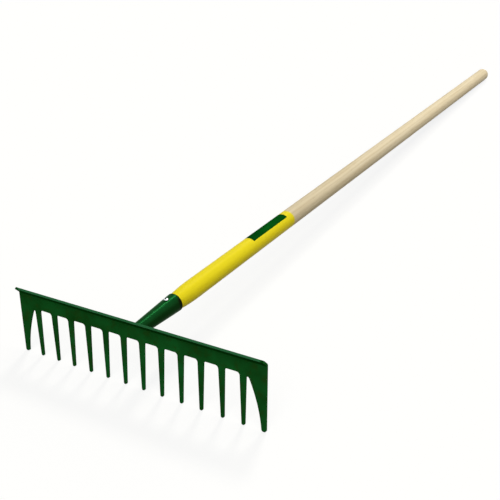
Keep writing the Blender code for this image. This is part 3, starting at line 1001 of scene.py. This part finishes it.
def makeHandleFinish():
    material, tree, shader = newMaterial("handleFinish", timber["gloss"], tint=timber["glossTint"])
    back = socketPlace.inverted()
    onStick = mapped(tree, objectPlace(tree), back.to_translation(), back.to_euler())
    along = addNode(tree, "ShaderNodeSeparateXYZ", {"Vector": onStick}).outputs["Z"]

    # growth rings round a pith that wanders beside the stick
    shifted = mapped(tree, onStick, timber["pithOffset"], scale=timber["ringStretch"])
    wander = noise(tree, shifted, timber["wanderScale"], 2.0)["Color"]
    drift = vectorMath(tree, "SUBTRACT", wander, (0.5, 0.5, 0.5))["Vector"]
    drifted = vectorMath(tree, "MULTIPLY_ADD", drift, timber["wander"], shifted)["Vector"]
    inputs = {"Vector": drifted, "Scale": timber["ringsPerMetre"] / turnsPerScale,
              "Distortion": 0.6, "Detail": 1.0}
    rings = addNode(tree, "ShaderNodeTexWave", inputs, wave_type="RINGS", rings_direction="Z",
                    wave_profile="SAW").outputs["Fac"]
    ringTone = remap(tree, rings, *timber["ringEdge"], smooth=True)

    # long streaks, broad patches, and short open pores
    stretched = mapped(tree, onStick, scale=timber["streakStretch"])
    streaks = noise(tree, stretched, timber["streakScale"], 5.0, roughness=0.6)["Fac"]
    streakTone = remap(tree, streaks, *timber["streakEdge"])
    stretched = mapped(tree, onStick, scale=timber["patchStretch"])
    patches = noise(tree, stretched, timber["patchScale"], 3.0)["Fac"]
    patchTone = remap(tree, patches, *timber["patchEdge"])
    stretched = mapped(tree, onStick, scale=timber["poreStretch"])
    pores = noise(tree, stretched, timber["poreScale"], 1.0)["Fac"]
    inLateWood = remap(tree, rings, 0.4, 0.9)
    pore = calculate(tree, "MULTIPLY", remap(tree, pores, *timber["poreEdge"]), inLateWood)

    mixTone = calculate(tree, "ADD", calculate(tree, "MULTIPLY", streakTone, timber["streakShare"]),
                        calculate(tree, "MULTIPLY", patchTone, 1 - timber["streakShare"]))
    wood = blendColor(tree, mixTone, timber["pale"], timber["warm"])
    wood = blendColor(tree, ringTone, wood, timber["line"], timber["ringShare"])
    wood = blendColor(tree, pore, wood, timber["line"], timber["poreShare"])
    shade = remap(tree, along, *timber["shadeReach"], timber["shade"], 0.0)
    wood = blendColor(tree, shade, wood, (0.0, 0.0, 0.0))

    # yellow lacquer, dipped up to a soft and not quite straight border
    waver = noise(tree, onStick, lacquer["waverScale"], 2.0)["Fac"]
    offset = remap(tree, waver, 0.0, 1.0, -lacquer["waver"], lacquer["waver"])
    half = lacquer["fade"] / 2
    covered = remap(tree, calculate(tree, "ADD", along, offset), lacquer["end"] - half,
                    lacquer["end"] + half, 1.0, 0.0, smooth=True)
    yellow = blendColor(tree, streakTone, lacquer["color"], lacquer["deep"], lacquer["deepShare"])
    thick = remap(tree, patches, *lacquer["thickEdge"], 0.0, lacquer["thickShare"], smooth=True)
    yellow = blendColor(tree, thick, yellow, lacquer["orange"])
    tree.links.new(blendColor(tree, covered, wood, yellow), shader["Base Color"])

    rough = remap(tree, streaks, 0.3, 0.7, *timber["rough"])
    smoother = calculate(tree, "MULTIPLY", covered, lacquer["smoother"])
    tree.links.new(calculate(tree, "SUBTRACT", rough, smoother), shader["Roughness"])
    grain = calculate(tree, "MULTIPLY", calculate(tree, "SUBTRACT", streaks, pore), 0.5)
    bare = remap(tree, covered, 0.0, 1.0, 1.0, lacquer["grainLeft"])
    roughen(tree, shader, calculate(tree, "MULTIPLY", grain, bare), timber["grainDepth"])
    return material


# The screw's plating

zinc = {
    "dull": (0.62, 0.63, 0.65),
    "bright": (0.74, 0.75, 0.76),
    "cloudScale": 900.0,
    "rough": (0.24, 0.38),
    "turnedScale": 2600.0,
    "turnedDepth": 0.01 * mm,
    # painted shade in the cross recess
    "recessShade": (0.012, 0.014, 0.012),
    "recessShadeDepth": (0.06 * mm, 0.30 * mm),
    "recessShadeReach": (2.6 * mm, 2.4 * mm),
}


def makeZinc():
    material, tree, shader = newMaterial("zincPlate", 0.5, 1.0)
    place = objectPlace(tree)
    cloudy = noise(tree, place, zinc["cloudScale"], 4.0)["Fac"]
    plate = blendColor(tree, remap(tree, cloudy, 0.35, 0.65), zinc["dull"], zinc["bright"])

    # painted shade in the recess: whatever lies below the dome's own surface
    back = screwPlace.inverted()
    onScrew = mapped(tree, place, back.to_translation(), back.to_euler())
    parts = addNode(tree, "ShaderNodeSeparateXYZ", {"Vector": onScrew}).outputs
    flat = addNode(tree, "ShaderNodeCombineXYZ", {"X": parts["X"], "Y": parts["Y"]}).outputs["Vector"]
    reach = vectorMath(tree, "LENGTH", flat)["Value"]
    share = calculate(tree, "DIVIDE", reach, fastener["headRadius"])
    left = calculate(tree, "SUBTRACT", 1.0, calculate(tree, "MULTIPLY", share, share))
    bulge = calculate(tree, "MULTIPLY", calculate(tree, "SQRT", left), fastener["dome"])
    dome = calculate(tree, "ADD", bulge, screwSeat() + fastener["rim"])
    depth = calculate(tree, "SUBTRACT", dome, parts["Z"])
    inRecess = calculate(tree, "MULTIPLY", remap(tree, depth, *zinc["recessShadeDepth"]),
                         remap(tree, reach, *zinc["recessShadeReach"]))
    tree.links.new(blendColor(tree, inRecess, plate, zinc["recessShade"]), shader["Base Color"])
    tree.links.new(remap(tree, cloudy, 0.3, 0.7, *zinc["rough"]), shader["Roughness"])
    roughen(tree, shader, noise(tree, place, zinc["turnedScale"], 1.0)["Fac"], zinc["turnedDepth"])
    return material


finishes = (
    (head, makeHeadPaint()),
    (socket, makeSocketPaint()),
    (weld, makePlainPaint("weldPaint", weldCoat)),
    (handle, makeHandleFinish()),
    (screw, makeZinc()),
    (band, makePlainPaint("bandFinish", bandCoat)),
)
for piece, finish in finishes:
    piece.data.materials.clear()
    piece.data.materials.append(finish)
print("finishes laid on")


# Floor, light and camera

studio = {
    "floorSize": 16,
    "sky": (1.0, 0.92, 0.62),
    "skyLevel": 0.15,
    "floorBounce": (0.225, 0.215, 0.190),   # what it throws back on the object
    "floorGlow": (0.795, 0.804, 0.820),     # what the camera sees on top of that
    "floorRoughness": 0.9,
    "lampDistance": 3,
}
lamps = {
    "keyLamp": {"from": (0.50, 0.60, 0.62), "power": 0.80, "spread": math.radians(60)},
    "stripLamp": {"from": (-0.15, 0.67, 0.73), "power": 1.0, "spread": math.radians(11)},
    "fillLamp": {"from": (0.34, -0.50, 0.80), "power": 1.52, "spread": math.radians(50)},
}
shot = {
    "place": (0.60342, -1.33134, 0.62750),
    "azimuth": math.radians(33.6466),
    "elevation": math.radians(27.6358),
    "roll": math.radians(-4.6077),
    "lens": 58.8241,
    "farthest": 60,
}


def seenDirectly(tree):
    # 1 for what the camera sees, also in a reflection or through glass
    rays = addNode(tree, "ShaderNodeLightPath").outputs
    direct = calculate(tree, "MAXIMUM", rays["Is Camera Ray"], rays["Is Glossy Ray"])
    return calculate(tree, "MAXIMUM", direct, rays["Is Transmission Ray"])


def makeStudio():
    bpy.ops.object.select_all(action="DESELECT")
    bpy.ops.mesh.primitive_plane_add(size=studio["floorSize"])
    floor = bpy.context.object
    floor.name = "studioFloor"
    material, tree, shader = newMaterial("paleFloor", 0.0)
    shader["Roughness"].default_value = studio["floorRoughness"]
    shader["Base Color"].default_value = (*studio["floorBounce"], 1)
    shader["Emission Color"].default_value = (*studio["floorGlow"], 1)
    tree.links.new(seenDirectly(tree), shader["Emission Strength"])
    floor.data.materials.append(material)

    world = bpy.data.worlds.new("softRoom")
    bpy.context.scene.world = world
    world.use_nodes = True
    tree = world.node_tree
    seen = seenDirectly(tree)
    background = tree.nodes["Background"].inputs
    tree.links.new(blendColor(tree, seen, studio["sky"], (1, 1, 1)), background["Color"])
    tree.links.new(remap(tree, seen, 0.0, 1.0, studio["skyLevel"], 1.0), background["Strength"])

    for name, setup in lamps.items():
        data = bpy.data.lights.new(name, "SUN")
        data.energy = setup["power"]
        data.angle = setup["spread"]
        lamp = bpy.data.objects.new(name, data)
        bpy.context.scene.collection.objects.link(lamp)
        lamp.location = Vector(setup["from"]) * studio["lampDistance"]
        lamp.rotation_euler = Vector(setup["from"]).to_track_quat("Z", "Y").to_euler()


def makeCamera():
    cameraData = bpy.data.cameras.new("photoCamera")
    cameraData.lens = shot["lens"]
    cameraData.clip_end = shot["farthest"]
    camera = bpy.data.objects.new("photoCamera", cameraData)
    bpy.context.scene.collection.objects.link(camera)
    camera.matrix_world = (Matrix.Translation(shot["place"]) @ Matrix.Rotation(shot["azimuth"], 4, "Z")
                           @ Matrix.Rotation(math.pi / 2 - shot["elevation"], 4, "X")
                           @ Matrix.Rotation(shot["roll"], 4, "Z"))
    bpy.context.scene.camera = camera


makeStudio()
makeCamera()
bpy.context.scene.view_settings.view_transform = "Standard"

print("scene ready")
